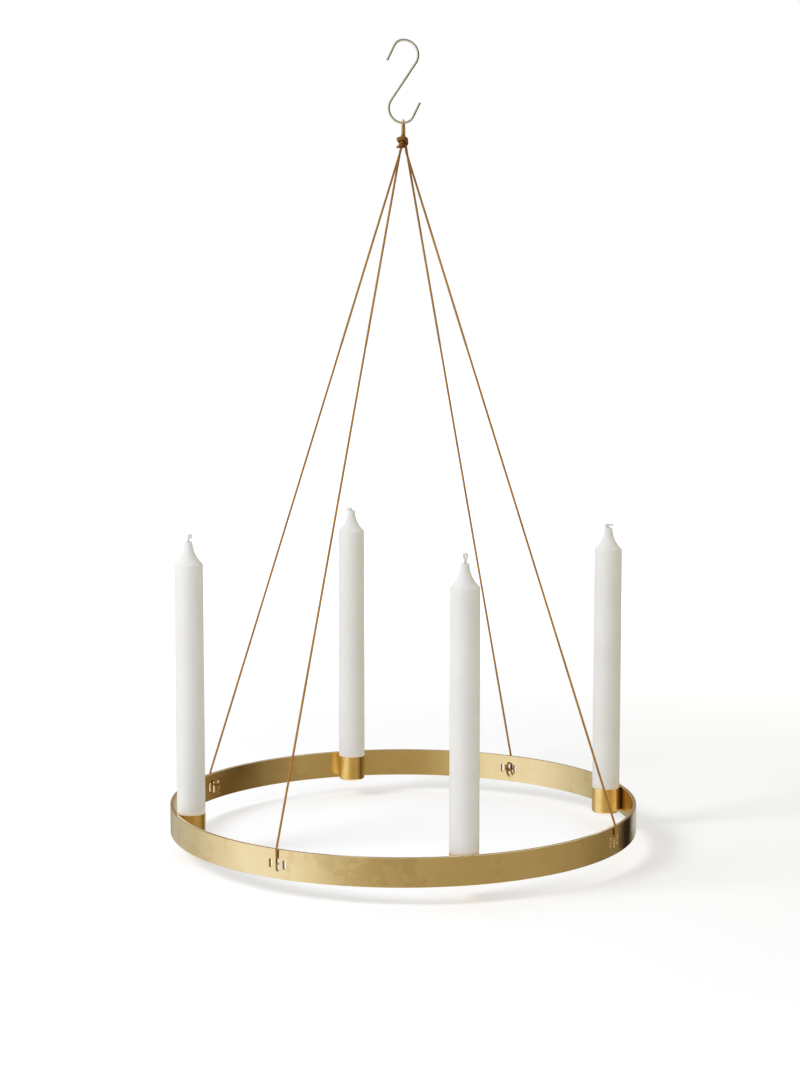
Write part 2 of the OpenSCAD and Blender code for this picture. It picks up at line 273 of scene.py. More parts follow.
# Shader maths
class Socket:
    """A node's output. A sum, difference or product of it adds the Math node for it."""

    def __init__(self, finish, node, out):
        self.finish = finish
        self.node = node
        self.output = node.outputs[out] if node.outputs else None

    def also(self, out):
        return Socket(self.finish, self.node, out)

    def math(self, operation, *others):
        return self.finish.maths(operation, self, *others)

    def __add__(self, other):
        return self.math("ADD", other)

    def __radd__(self, other):
        return self.math("ADD", other)

    def __sub__(self, other):
        return self.math("SUBTRACT", other)

    def __rsub__(self, other):
        return self.finish.maths("SUBTRACT", other, self)

    def __mul__(self, other):
        return self.math("MULTIPLY", other)

    def __rmul__(self, other):
        return self.math("MULTIPLY", other)


class Finish:
    """The node tree of one material or of the world."""

    def __init__(self, owner):
        owner.use_nodes = True
        self.tree = owner.node_tree
        self.tree.nodes.clear()

    def node(self, kind, settings=None, inputs=None, out=0):
        made = self.tree.nodes.new("ShaderNode" + kind)
        for name, value in (settings or {}).items():
            if name == "stops":
                stops = made.color_ramp.elements
                while len(stops) < len(value):
                    stops.new(1)
                for stop, (at, colour) in zip(stops, value):
                    stop.position = at
                    stop.color = (*colour, 1)
            else:
                setattr(made, name, value)
        for name, value in (inputs or {}).items():
            if isinstance(value, Socket):
                self.tree.links.new(value.output, made.inputs[name])
            else:
                made.inputs[name].default_value = value
        return Socket(self, made, out)

    def maths(self, operation, *values):
        return self.node("Math", {"operation": operation}, dict(enumerate(values)))

    def place(self):
        return self.node("TexCoord", out="Object")

    def uv(self):
        return self.node("TexCoord", out="UV")

    def split(self, vector):
        x = self.node("SeparateXYZ", {}, {"Vector": vector})
        return x, x.also("Y"), x.also("Z")

    def vector(self, x, y, z):
        return self.node("CombineXYZ", {}, {"X": x, "Y": y, "Z": z})

    def round_uv(self, around, length_scale):
        """A tube's UVs without a seam: a circle of this radius, and the length scaled."""
        share, length, _ = self.split(self.uv())
        turn = share * (2 * math.pi)
        return self.vector(turn.math("COSINE") * around, turn.math("SINE") * around,
                           length * length_scale)

    def noise(self, vector, scale=1, detail=3, roughness=0.5):
        return self.node("TexNoise", {}, {
            "Vector": vector, "Scale": scale, "Detail": detail, "Roughness": roughness})

    def step(self, value, low, high):
        return self.node("MapRange", {"interpolation_type": "SMOOTHSTEP"}, {
            "Value": value, "From Min": low, "From Max": high})

    def blend(self, share, one, other):
        return self.node("Mix", {"data_type": "RGBA"}, {0: share, 6: one, 7: other}, out=2)

    def bump(self, height, depth_mm, normal=None):
        inputs = {"Height": height, "Distance": depth_mm * MM, "Strength": 1.0}
        if normal is not None:
            inputs["Normal"] = normal
        return self.node("Bump", {}, inputs)

    def soft_edge(self, radius_mm, samples):
        return self.node("Bevel", {"samples": samples}, {"Radius": radius_mm * MM})

    def surface(self, **inputs):
        """The plain shader, its inputs named in small letters, as in base_color."""
        def title(name):
            return name.replace("_", " ").title().replace("Ior", "IOR")

        named = {title(name): value for name, value in inputs.items()}
        self.output(self.node("BsdfPrincipled", {}, named))

    def output(self, shader):
        kind = "OutputWorld" if isinstance(self.tree.id_data, bpy.types.World) else "OutputMaterial"
        self.node(kind, {}, {"Surface": shader})


def rgb(red, green, blue):
    return (red, green, blue, 1)


# Finishes
def brushed_brass():
    """Flat band, brushed round its length, with a thin warm patina and a painted cup reflection."""
    material = bpy.data.materials.new("brushed_brass")
    f = Finish(material)
    x, y, z = f.split(f.place())
    radius = (x * x + y * y).math("SQRT")
    brushing = f.noise(f.vector(x * 22, y * 22, (z + radius) * 3200), detail=4, roughness=0.6)
    streaks = f.noise(f.vector(x * 9, y * 9, (z + radius) * 420), roughness=0.55)
    cloud = f.noise(f.place(), scale=17, roughness=0.55)
    handling = f.noise(f.place(), scale=75, detail=4, roughness=0.6)
    stains = f.step(f.noise(f.place(), scale=38, detail=5, roughness=0.62), 0.545, 0.6)
    waves = f.noise(f.place(), scale=15, detail=2)
    patina = f.step(cloud * 0.55 + streaks * 0.35 + handling * 0.2, 0.46, 0.72)
    clean = f.blend(f.step(streaks, 0.3, 0.7), rgb(0.86, 0.715, 0.435), rgb(0.905, 0.765, 0.495))
    aged = f.blend(patina * 0.5, clean, rgb(0.76, 0.595, 0.325))
    colour = f.blend(stains * 0.3, aged, rgb(0.66, 0.50, 0.26))
    inside = 1 - f.step(radius, HOOP_IN_R * MM, (HOOP_IN_R + 0.6) * MM)
    # Painted reflection of the back cup: the band's inner side is darker and warmer near it.
    back_cup_reflection = f.step(y, 0.15, 0.17) * f.step(x, -0.1, -0.075) * (1 - f.step(x, 0.05, 0.08))
    colour = f.blend(inside * back_cup_reflection * 0.5, colour, rgb(0.70, 0.535, 0.25))
    rough = 0.135 + 0.06 * brushing + 0.05 * patina + 0.04 * stains
    uneven = f.bump(waves, depth_mm=0.9, normal=f.soft_edge(radius_mm=0.4, samples=6))
    relief = brushing * 0.8 + streaks * 0.6
    f.surface(base_color=colour, metallic=1.0, roughness=rough,
              normal=f.bump(relief, depth_mm=0.03, normal=uneven))
    return material


def turned_brass():
    """Cups turned on a lathe: fine level rings, more orange than the band."""
    material = bpy.data.materials.new("turned_brass")
    f = Finish(material)
    x, y, z = f.split(f.place())
    rings = f.noise(f.vector(x * 30, y * 30, z * 4200), detail=4, roughness=0.6)
    cloud = f.noise(f.place(), scale=70, roughness=0.55)
    colour = f.blend(f.step(cloud, 0.35, 0.7), rgb(0.93, 0.70, 0.315), rgb(0.86, 0.60, 0.215))
    rough = 0.17 + 0.08 * rings + 0.05 * cloud
    f.surface(base_color=colour, metallic=1.0, roughness=rough,
              normal=f.bump(rings, depth_mm=0.02))
    return material


def brazing_metal():
    material = bpy.data.materials.new("brazing_metal")
    f = Finish(material)
    ripple = f.noise(f.place(), scale=900)
    colour = f.blend(ripple, rgb(0.66, 0.46, 0.20), rgb(0.50, 0.33, 0.13))
    f.surface(base_color=colour, metallic=1.0, roughness=0.4 + 0.15 * ripple,
              normal=f.bump(ripple, depth_mm=0.12))
    return material


def drawn_wire():
    """Bright steel wire with the fine long marks of the drawing die."""
    material = bpy.data.materials.new("drawn_wire")
    f = Finish(material)
    marks = f.noise(f.round_uv(around=7, length_scale=0.12), detail=4, roughness=0.6)
    cloud = f.noise(f.round_uv(around=0.6, length_scale=0.2), detail=2)
    colour = f.blend(f.step(cloud, 0.3, 0.7), rgb(0.74, 0.72, 0.62), rgb(0.64, 0.62, 0.52))
    f.surface(base_color=colour, metallic=1.0, roughness=0.2 + 0.14 * marks,
              normal=f.bump(marks, depth_mm=0.012))
    return material


def tan_leather():
    """Round leather cord: long grain, small pores, paler where it rubs on the hook, and painted
    shade in its creases and towards the top knot.
    """
    material = bpy.data.materials.new("tan_leather")
    f = Finish(material)
    grain = f.noise(f.round_uv(around=3.2, length_scale=0.55), detail=4, roughness=0.6)
    pores = f.noise(f.round_uv(around=9, length_scale=4.5), roughness=0.6)
    tone = f.noise(f.round_uv(around=0.5, length_scale=0.035), roughness=0.55)
    _, _, height = f.split(f.place())
    _, down_from_loop, _ = f.split(f.uv())
    rubbed = 1 - f.step(down_from_loop, -1.5, 2.2)
    # Painted shade: the cords darken towards and through the top knot.
    knot_shade = f.step(height, (TOP_KNOT_Z - 60) * MM, (TOP_KNOT_Z - 8) * MM)
    # Painted shade: near black in creases and where a cord lies close to another part, from ambient
    # occlusion.
    crease_shade = 1 - f.node("AmbientOcclusion", {"samples": 8}, {"Distance": 1.6 * MM}, out="AO")
    hide = f.blend(f.step(tone, 0.32, 0.68), rgb(0.41, 0.185, 0.036), rgb(0.56, 0.28, 0.057))
    hide = f.blend(f.step(grain, 0.35, 0.75) * 0.6, hide, rgb(0.25, 0.095, 0.016))
    hide = f.blend(knot_shade * 0.55, hide, rgb(0.21, 0.068, 0.01))
    hide = f.blend(rubbed * 0.85, hide, rgb(0.66, 0.46, 0.165))
    hide = f.blend(f.step(crease_shade, 0.2, 0.65) * 0.85, hide, rgb(0.06, 0.02, 0.004))
    relief = grain * 0.7 + pores * 0.5
    f.surface(base_color=hide, roughness=0.5 + 0.2 * pores, specular_ior_level=0.25,
              normal=f.bump(relief, depth_mm=0.1))
    return material


def candle_wax():
    """Pressed white wax: silky, a little translucent, with faint clouds and pits, and with painted
    light and a painted warm glow just above the rim of its cup."""
    material = bpy.data.materials.new("candle_wax")
    f = Finish(material)
    cloud = f.noise(f.place(), scale=26)
    pits = f.noise(f.place(), scale=620, roughness=0.55)
    colour = f.blend(f.step(cloud, 0.3, 0.7), rgb(0.86, 0.86, 0.85), rgb(0.895, 0.895, 0.885))
    _, _, height = f.split(f.place())
    # Painted light: the wax is paler and warmer over the 3 mm above the cup's rim, lifting the
    # shade there.
    foot = 1 - f.step(height, RIM_Z * MM, (RIM_Z + 3) * MM)
    colour = f.blend(foot * 0.9, colour, rgb(0.96, 0.93, 0.82))
    # Painted glow: the wax gives off a warm light in a band just above the cup's rim.
    above_rim = f.step(height, (RIM_Z - 0.6) * MM, RIM_Z * MM)
    near_rim = 1 - f.step(height, (RIM_Z - 1) * MM, (RIM_Z + 5.5) * MM)
    glow = f.blend(above_rim * near_rim, rgb(0, 0, 0), rgb(0.20, 0.155, 0.105))
    relief = pits * 0.6 + cloud * 0.4
    f.surface(base_color=colour, emission_color=glow, emission_strength=1.0,
              roughness=0.42 + 0.12 * pits, subsurface_weight=0.6,
              subsurface_radius=(1.0, 0.92, 0.75), subsurface_scale=0.008,
              specular_ior_level=0.4,
              normal=f.bump(relief, depth_mm=0.03, normal=f.soft_edge(radius_mm=1.6, samples=8)))
    return material


def waxed_cotton():
    material = bpy.data.materials.new("waxed_cotton")
    f = Finish(material)
    fibre = f.noise(f.round_uv(around=4, length_scale=1.8), detail=4, roughness=0.65)
    colour = f.blend(f.step(fibre, 0.3, 0.7), rgb(0.76, 0.76, 0.74), rgb(0.88, 0.88, 0.86))
    f.surface(base_color=colour, roughness=0.75, sheen_weight=0.25,
              normal=f.bump(fibre, depth_mm=0.05))
    return material


band_brass = brushed_brass()
cup_brass = turned_brass()
braze = brazing_metal()
wire = drawn_wire()
leather = tan_leather()
wax = candle_wax()
cotton = waxed_cotton()

CAD_FINISHES = {"ring_band": band_brass, "cup": cup_brass, "braze": braze, "candle": wax}

for node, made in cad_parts.items():
    for start, finish in CAD_FINISHES.items():
        if node.startswith(start):
            for i in range(len(made.data.materials)):
                made.data.materials[i] = finish


# Hook: a wire S, its lower half the upper half turned half a turn about the middle
def wire_hook():
    bend_r = (HOOK_H - WIRE_D) / 2 / (1 + 1 / sind(HOOK_LEAN))

    def arc(centre_z, r, start, end, steps):
        turn = [start + (end - start) * k / steps for k in range(steps + 1)]
        return [(r * cosd(a), 0, centre_z + r * sind(a)) for a in turn]

    wide = arc(HOOK_APEX_Z - bend_r, bend_r, -HOOK_LEAN, 90, steps=60)
    narrow = arc(HOOK_APEX_Z - HOOK_TIP_R, HOOK_TIP_R, 90, 180 - HOOK_TIP_LEAN, steps=32)
    end = np.array(narrow[-1])
    out = np.array([-sind(HOOK_TIP_LEAN), 0, -cosd(HOOK_TIP_LEAN)])
    steps = 8
    tip = [tuple(end + out * HOOK_TIP_L * k / steps) for k in range(1, steps + 1)]
    half = wide + narrow[1:] + tip
    lower = [(-x, 0, 2 * HOOK_MID_Z - z) for x, _, z in reversed(half)]
    path = evenly(lower + half, spacing=0.5)
    bent = tube(path, WIRE_R, sides=24, first=(0, 1, 0), cap_round=0.15)
    made = piece("wire_hook", [bent], wire)
    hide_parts("s_hook")
    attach(made, "hook")


wire_hook()


# Loop: one bight over the hook's lower bend, with its legs side by side
LEG_X = 0.8
LEG_Y = 0.4
LEG_LIFT = 0.3
LEG_LOW_Z = TOP_KNOT_Z + TOP_KNOT_HALF + LEG_LIFT
# Where a leg nears the arch: x, y, and the height as a share of the way up to the wire
LEG_HIGH_POINTS = [(0.8, 0.42, 0.4), (0.7, 0.72, 0.68)]
ARCH_R = WIRE_R + LOOP_GAP + CORD_R
ARCH_LEAN = 0.35
# How far a leg runs on into the knot, over the strand that goes on from it
STRAND_LAP = 2.4


def cord_loop():
    rise = WIRE_LOW_Z - LEG_LOW_Z

    def leg(side):
        points = [(LEG_X, LEG_Y, TOP_KNOT_Z + TOP_KNOT_HALF - STRAND_LAP),
                  (LEG_X, LEG_Y, LEG_LOW_Z)]
        points += [(x, y, LEG_LOW_Z + rise * share) for x, y, share in LEG_HIGH_POINTS]
        return [(side * x, side * y, z) for x, y, z in points]

    arch = [(0, ARCH_R * cosd(a), WIRE_LOW_Z + ARCH_R * sind(a)) for a in range(150, 0, -30)]
    arch = [(-ARCH_LEAN, -ARCH_R, WIRE_LOW_Z)] + arch + [(ARCH_LEAN, ARCH_R, WIRE_LOW_Z)]
    path = evenly(smooth(leg(-1) + arch + leg(1)[::-1], steps=12), spacing=0.35)
    from_strand_top = STRAND_LAP - np.minimum(along(path), along(path[::-1])[::-1])
    cord = tube(path, CORD_R, CORD_SIDES, length=from_strand_top)
    made = piece("cord_loop", [cord], leather)
    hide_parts("hanging_loop")
    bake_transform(made)


cord_loop()


# Strands: each runs through the top knot, down to the hoop, over its edge, in through the
# middle slot and round a stopper knot, as one length
BUNDLE_CORD_AT = 1.04
BUNDLE_CORD_R = 0.84
# Two strands run on as the loop's legs
LEG_STRANDS = ("front_left", "back_right")
LEG_STRAND_R = 0.86
# The other two strands end out of sight, between the loop's legs
HIDDEN_END_AT = 0.5
HIDDEN_END_R = 0.45
# Shares of the bundle's length over which the cords close in on the loop's legs at its top, and
# part at its bottom
CLOSE_IN_SHARE = 0.1
PART_SHARE = 0.12
TILT_FADE = 1.35


def knot_route(pitch):
    half = np.array(KNOT_HALF_SHARES)
    return np.vstack([half[:0:-1] * [-1, 1, -1], half]) * pitch


def turned(points, deg):
    p = np.array(points, float)
    x = p[:, 0] * cosd(deg) - p[:, 1] * sind(deg)
    y = p[:, 0] * sind(deg) + p[:, 1] * cosd(deg)
    return np.stack([x, y, p[:, 2]], axis=1)


def knot_bundle(bearing, start, is_leg):
    """Where one cord lies in the bundle that the top knot is tied in, from top to bottom."""
    bottom, top = (0, 0, -TOP_KNOT_HALF), (0, 0, TOP_KNOT_HALF)
    middle = smooth(np.vstack([[bottom], knot_route(TOP_TIGHT_PITCH), [top]]), steps=10)
    middle = evenly(turned(middle, TOP_KNOT_TURN), spacing=0.4)
    off_middle = np.abs(middle[:, 2]) / TOP_KNOT_HALF
    tilt = np.radians(TOP_KNOT_TILT) * np.clip(TILT_FADE - off_middle * TILT_FADE, 0, 1)
    x, z = middle[:, 0].copy(), middle[:, 2].copy()
    middle[:, 0] = x * np.cos(tilt) - z * np.sin(tilt)
    middle[:, 2] = x * np.sin(tilt) + z * np.cos(tilt)
    _, across, beside = frames(middle, (1, 0, 0))
    at = along(middle) / along(middle)[-1]
    spin = math.degrees(math.atan2(across[-1][1], across[-1][0]))
    leg_turn = 180 + math.degrees(math.atan2(LEG_Y, LEG_X))
    twist = (leg_turn - STRANDS[LEG_STRANDS[0]][0] - spin) % 360
    twist = twist - 360 if twist > 180 else twist
    near_top = np.clip((at - (1 - CLOSE_IN_SHARE)) / CLOSE_IN_SHARE, 0, 1)
    near_bottom = np.clip((PART_SHARE - at) / PART_SHARE, 0, 1)[:, None]
    top_at = math.hypot(LEG_X, LEG_Y) if is_leg else HIDDEN_END_AT
    top_r = LEG_STRAND_R if is_leg else HIDDEN_END_R
    offset = BUNDLE_CORD_AT + near_top * (top_at - BUNDLE_CORD_AT)
    radius = BUNDLE_CORD_R + near_top * (top_r - BUNDLE_CORD_R)
    radius += near_bottom[:, 0] * (CORD_R - radius)
    angle = np.radians(bearing + twist * at)
    path = (middle + offset[:, None] * (np.cos(angle)[:, None] * across
                                        + np.sin(angle)[:, None] * beside))
    parted = middle + np.array([*start, 0])
    path += near_bottom * (parted - path)
    path[:, 2] += TOP_KNOT_Z
    return path[::-1], radius[::-1]


BOW_L = 4
# Ways from the stopper knot to the points of its cut end, in shares of the end's length
STOPPER_TAIL_SHARES = [(-0.02, -0.04, -0.2), (-0.02, -0.22, -0.5), (-0.06, -0.48, -0.85)]


def strand_below(start, knot_turn):
    """The rest of a strand along +X: the taut run, the edge, the slot, the knot and the tail."""
    def bend(centre, radius, begin, end, steps):
        turns = np.linspace(begin, end, steps)
        return [centre + radius * np.array([cosd(a), 0, sind(a)]) for a in turns]

    face_r = HOOP_R + CORD_R + CORD_GAP
    edge_bend_r = CORD_R + CORD_BEND_GAP
    run = face_r - edge_bend_r - start[0]
    fall = STRAND_TOP_Z - CORD_R - HOOP_TOP_Z
    lean = math.degrees(math.atan2(run, fall) + math.asin(edge_bend_r / math.hypot(run, fall)))
    over = bend(np.array([face_r - edge_bend_r, 0, HOOP_TOP_Z]), edge_bend_r, lean, 0, steps=12)
    top = np.array([*start[:2], STRAND_TOP_Z])
    corner = np.array([*start[:2], STRAND_TOP_Z - CORD_R])
    down = over[0] - corner
    leave = corner + BOW_L * down / np.linalg.norm(down)
    bow = [top * (1 - t) ** 2 + 2 * corner * t * (1 - t) + leave * t**2
           for t in np.linspace(0, 1, 9)[1:]]
    slot_pass_z = HOOP_MID_Z + MID_SLOT_L / 2 - CORD_R - CORD_GAP
    slot_c = np.array([face_r - edge_bend_r, 0, slot_pass_z + edge_bend_r])
    into = bend(slot_c, edge_bend_r, 0, -90, steps=12)
    in_c = np.array([HOOP_IN_R - STOPPER_BEND_R, 0, slot_pass_z - STOPPER_BEND_R])
    turn_in = bend(in_c, STOPPER_BEND_R, 90, 90 + STOPPER_TILT, steps=8)
    ahead = np.array([-cosd(STOPPER_TILT), 0, -sind(STOPPER_TILT)])
    beside = np.array([sind(STOPPER_TILT), 0, -cosd(STOPPER_TILT)])
    knot_c = turn_in[-1] + ahead * TIGHT_PITCH * NECK_SHARE
    knot = turned(smooth(knot_route(TIGHT_PITCH), steps=12), knot_turn)
    knot = [knot_c + p[0] * beside + p[1] * np.array([0, 1, 0]) + p[2] * ahead for p in knot]
    knot_out = knot_c + ahead * TIGHT_PITCH * NECK_SHARE
    tail = [knot_out + TAIL_L * np.array(shares) for shares in STOPPER_TAIL_SHARES]
    tail = smooth([knot[-1]] + tail, steps=6)[1:]
    before = np.array(bow + over + into + turn_in)
    return before, np.array(knot), tail


# The stopper knot pulls tight over this radius, and its cord bulges by the swell
STOPPER_R = 3.2
STOPPER_FADE = 1.2
STOPPER_SWELL = 0.03
# How much the cord's radius varies along it, as a share, and how fast
WANDERS = [(0.018, 0.9, 1), (0.014, 2.3, 2)]
# Points on each side of the bundle's foot that are smoothed, and how often
FOOT_POINTS = 6
FOOT_PASSES = 14


def strand(place):
    bearing, knot_turn = STRANDS[place]
    start = STRAND_STARTS[place]
    bundle, bundle_r = knot_bundle(bearing, start, place in LEG_STRANDS)
    before, knot, tail = strand_below(turned([(*start, 0)], -bearing)[0], knot_turn)
    rest = turned(np.vstack([before, knot, tail]), bearing)
    rest = evenly(np.vstack([bundle[-1:], rest]), spacing=0.5)
    from_knot = np.linalg.norm(rest - turned(knot.mean(axis=0)[None], bearing), axis=1)
    tight = 1 - np.clip((from_knot - STOPPER_R) / STOPPER_FADE, 0, 1)
    at = along(rest)
    wander = sum(size * np.sin(at * rate + turns * bearing) for size, rate, turns in WANDERS)
    radius = CORD_R * (1 + wander * (1 - tight)) + STOPPER_SWELL * tight
    path = np.vstack([bundle, rest[1:]])
    low, high = len(bundle) - FOOT_POINTS, len(bundle) + FOOT_POINTS
    for _ in range(FOOT_PASSES):
        path[low:high] = (path[low - 1:high - 1] + 2 * path[low:high] + path[low + 1:high + 1]) / 4
    radius = np.concatenate([bundle_r, radius[1:]])
    cord = tube(path, radius, STRAND_SIDES)
    made = piece("strand_" + place + "_cord", [cord], leather)
    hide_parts("strand_" + place, "top_knot")
    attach(made, "suspension")


for place in STRANDS:
    strand(place)


# Root of the cut end from the top knot's middle, in shares of its pitch, and its lean
CUT_END_ROOT_SHARES = (-0.75, -0.3, -0.95)
CUT_END_LEAN_SHARES = (-1, -0.15, -0.45)


def cut_end():
    """The short end that sticks out of the top knot at its lower left."""
    root = np.array(CUT_END_ROOT_SHARES) * TOP_PITCH
    way = np.array(CUT_END_LEAN_SHARES) / np.linalg.norm(CUT_END_LEAN_SHARES)
    path = [root + way * TOP_TAIL_L * k / 8 + np.array([0, 0, TOP_KNOT_Z]) for k in range(-2, 9)]
    cord = tube(path, CORD_R, CORD_SIDES, first=(0, 0, 1))
    made = piece("top_knot_cut_end", [cord], leather)
    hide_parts("top_knot")
    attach(made, "suspension")


cut_end()


# Wicks: three yarns plaited flat, in the bend that each shows in the photograph. The points are
# across and up from the wax tip, in shares of the wick's diameter.
WICK_SHARES = {
    "front": [(0, 0), (-0.2, 1.1), (-0.5, 2.9), (-1.0, 4.6), (-0.8, 5.2), (0.1, 5.3), (1.0, 5.2),
              (1.25, 4.6), (0.85, 3.2), (0.65, 2.0), (0.65, 0.9)],
    "left": [(0, 0), (-0.05, 1.1), (0, 2.2), (0.2, 3.5), (0.9, 4.3), (1.7, 4.0), (1.85, 3.2),
             (1.45, 2.5), (1.1, 2)],
    "back": [(0, 0), (-0.1, 0.75), (-0.7, 1.35), (-1.6, 1.3), (-2.5, 0.75), (-3.2, 0.4)],
    "right": [(0, 0), (-0.6, 0.5), (-1.5, 0.75), (-1.85, 1.45), (-1.2, 2.0), (0.2, 1.95),
              (1.7, 1.75), (2.9, 1.6)],
}
YARNS = 3
YARN_R = 0.5
PLAIT_PITCH = 3.4
PLAIT_HALF_W = 0.52
PLAIT_HALF_T = 0.28
# Below the wax tip, the plait runs down to a plain core that it laps
PLAIT_ROOT = 4
CORE_TOP = 3.6
CORE_R = 0.6


def candle_axis(place, z):
    bearing = CANDLE_BEARINGS[place]
    return np.array([CUP_AT_R * cosd(bearing), CUP_AT_R * sind(bearing), z])


def plaited_wick(place):
    axis = candle_axis(place, 0)
    root = [(0, 0, WAX_TIP_Z - PLAIT_ROOT)]
    free = [(x * WICK_D, 0, WAX_TIP_Z + z * WICK_D) for x, z in WICK_SHARES[place]]
    path = evenly(np.vstack([root, smooth(free, steps=12)]), spacing=0.12) + axis
    _, across, beside = frames(path, (1, 0, 0))
    turn = along(path) * 2 * math.pi / PLAIT_PITCH
    yarns = []
    for k in range(YARNS):
        phase = turn + k * 2 * math.pi / YARNS
        wide = PLAIT_HALF_W * np.cos(phase)
        deep = PLAIT_HALF_T * np.sin(2 * phase)
        yarn = path + wide[:, None] * across + deep[:, None] * beside
        yarns.append(tube(yarn, YARN_R, sides=8))
    core = np.array([(0, 0, SEAT_Z), (0, 0, WAX_TIP_Z - CORE_TOP)]) + axis
    yarns.append(tube(evenly(core, spacing=20), CORE_R, sides=12))
    made = piece("wick_" + place + "_plait", yarns, cotton)
    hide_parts("wick_" + place)
    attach(made, place + "_candle")


# Closed profiles of the two rings of wax, radius and height
COLLAR_PROFILE = [
    (2.0, -0.25), (1.75, -0.02), (1.35, 0.08), (1.05, 0.22), (0.95, 0.45), (0.85, 0.7),
    (0.6, 0.72), (0.4, -0.25),
]
COLLAR_UNEVEN = 0.03
FOOT_PROFILE = [
    (10.6, 0.4), (10.85, 0.06), (11.7, 0.07), (11.88, 0.16), (11.94, 0.4), (11.94, 1.3),
    (11.94, 2.2), (11.8, 2.7), (10.6, 2.7),
]


def ring(axis, profile, phase=0, uneven=0, sides=64):
    """A ring about an upright axis. Uneven is the share by which its radius waves."""
    points, faces, uvs = [], [], []
    for r, z in profile:
        for k in range(sides):
            a = 360 * k / sides
            wave = 1 + uneven * (2 * sind(2 * a + phase) + sind(5 * a))
            points.append(axis + [r * wave * cosd(a), r * wave * sind(a), z])
    rows = len(profile)
    for i in range(rows):
        for k in range(sides):
            n, j = (k + 1) % sides, (i + 1) % rows
            faces.append((i * sides + k, i * sides + n, j * sides + n, j * sides + k))
            uvs += [(0, 0), (1, 0), (1, 1), (0, 1)]
    return points, faces, uvs


def wax_collar(place):
    """Wax that clings to the wick where it leaves the tip."""
    axis = candle_axis(place, WAX_TIP_Z)
    collar = ring(axis, COLLAR_PROFILE, CANDLE_BEARINGS[place], COLLAR_UNEVEN)
    made = piece("wax_collar_" + place, [collar], wax)
    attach(made, place + "_candle")


def wax_foot(place):
    """The candle's soft lower edge, which all but rests on the rim of its cup."""
    foot = ring(candle_axis(place, RIM_Z), FOOT_PROFILE)
    made = piece("wax_foot_" + place, [foot], wax)
    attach(made, place + "_candle")


for place in CANDLE_BEARINGS:
    plaited_wick(place)
    wax_collar(place)
    wax_foot(place)


# Studio: a white world, a pale floor, a dark ceiling, and upright cards. The camera sees none of
# the cards: most show only in the metal's reflections, and two only light the matt things.
def studio_world():
    world = bpy.data.worlds.new("studio_world")
    bpy.context.scene.world = world
    f = Finish(world)
    ray = f.node("LightPath", out="Is Camera Ray")
    seen = ray.math("MAXIMUM", ray.also("Is Glossy Ray"))
    seen = seen.math("MAXIMUM", ray.also("Is Transmission Ray"))
    light = f.node("Background", {}, {"Color": rgb(1, 1, 1), "Strength": 0.60})
    white = f.node("Background", {}, {"Color": rgb(1, 1, 1), "Strength": 1.0})
    f.output(f.node("MixShader", {}, {0: seen, 1: light, 2: white}))


def level_square(name, material, half, z):
    """A level square of the stage, in metres."""
    mesh = bpy.data.meshes.new(name)
    corners = [(-half, -half, z), (half, -half, z), (half, half, z), (-half, half, z)]
    mesh.from_pydata(corners, [], [(0, 1, 2, 3)])
    mesh.materials.append(material)
    made = bpy.data.objects.new(name, mesh)
    bpy.context.scene.collection.objects.link(made)
    return made


FLOOR_DROP = 15
FLOOR_HALF = 9
CEILING_HALF = 0.5
CEILING_Z = 0.46


def pale_floor():
    """Paper a little below the hoop, which brightens away from it until it is white."""
    material = bpy.data.materials.new("pale_floor")
    f = Finish(material)
    x, y, _ = f.split(f.place())
    away = (x * x + y * y).math("SQRT")
    ray = f.node("LightPath", out="Is Camera Ray")
    tint = f.blend(ray, rgb(0.93, 0.93, 0.93), rgb(0.885, 0.905, 0.955))
    paper = f.node("BsdfDiffuse", {}, {"Color": tint})
    lift = 0.29 + 0.42 * f.step(away, 0.4, 1.6)
    glow = f.node("Emission", {}, {"Color": rgb(1, 1, 1), "Strength": ray * lift})
    f.output(f.node("AddShader", {}, {0: paper, 1: glow}))
    floor = level_square("floor", material, FLOOR_HALF, (HOOP_LOW_Z - FLOOR_DROP) * MM)
    floor.visible_glossy = False


def dark_ceiling():
    """Darkens the upper sides of the wire, as an unlit ceiling does."""
    material = bpy.data.materials.new("dark_ceiling")
    f = Finish(material)
    f.output(f.node("Emission", {}, {"Color": rgb(0.09, 0.085, 0.07), "Strength": 1.0}))
    ceiling = level_square("dark_ceiling", material, CEILING_HALF, CEILING_Z)
    ceiling.visible_camera = False
    ceiling.visible_shadow = False
    ceiling.visible_diffuse = False


def line(x, start, reach, steps):
    """A plan line towards +Y, with this many steps."""
    return [(x, start + reach * k / steps) for k in range(steps + 1)]


def card(name, tone_stops, plan, low, high, for_metal=True):
    """An upright card in metres, over a plan of x, y points, which the camera doesn't see. Its
    tone runs through the stops from the first point to the last. Only reflections see it, or
    only the light that falls on matt things."""
    material = bpy.data.materials.new(name)
    f = Finish(material)
    across, _, _ = f.split(f.uv())
    tone = f.node("ValToRGB", {"stops": tone_stops}, {"Fac": across})
    f.output(f.node("Emission", {}, {"Color": tone, "Strength": 1.0}))
    steps = len(plan) - 1
    points = [(x, y, z) for x, y in plan for z in (low, high)]
    faces, uvs = [], []
    for k in range(steps):
        faces.append((2 * k, 2 * k + 2, 2 * k + 3, 2 * k + 1))
        uvs += [(k / steps, 0), ((k + 1) / steps, 0), ((k + 1) / steps, 1), (k / steps, 1)]
    mesh = bpy.data.meshes.new(name)
    mesh.from_pydata(points, [], faces)
    mesh.uv_layers.new(name="UVMap").data.foreach_set("uv", np.array(uvs, float).ravel())
    mesh.materials.append(material)
    made = bpy.data.objects.new(name, mesh)
    bpy.context.scene.collection.objects.link(made)
    made.visible_camera = False
    made.visible_shadow = False
    made.visible_diffuse = not for_metal
    made.visible_glossy = for_metal


DRUM_R = 1.5
DRUM_STEPS = 120
RIM_CARD_R = 1.45


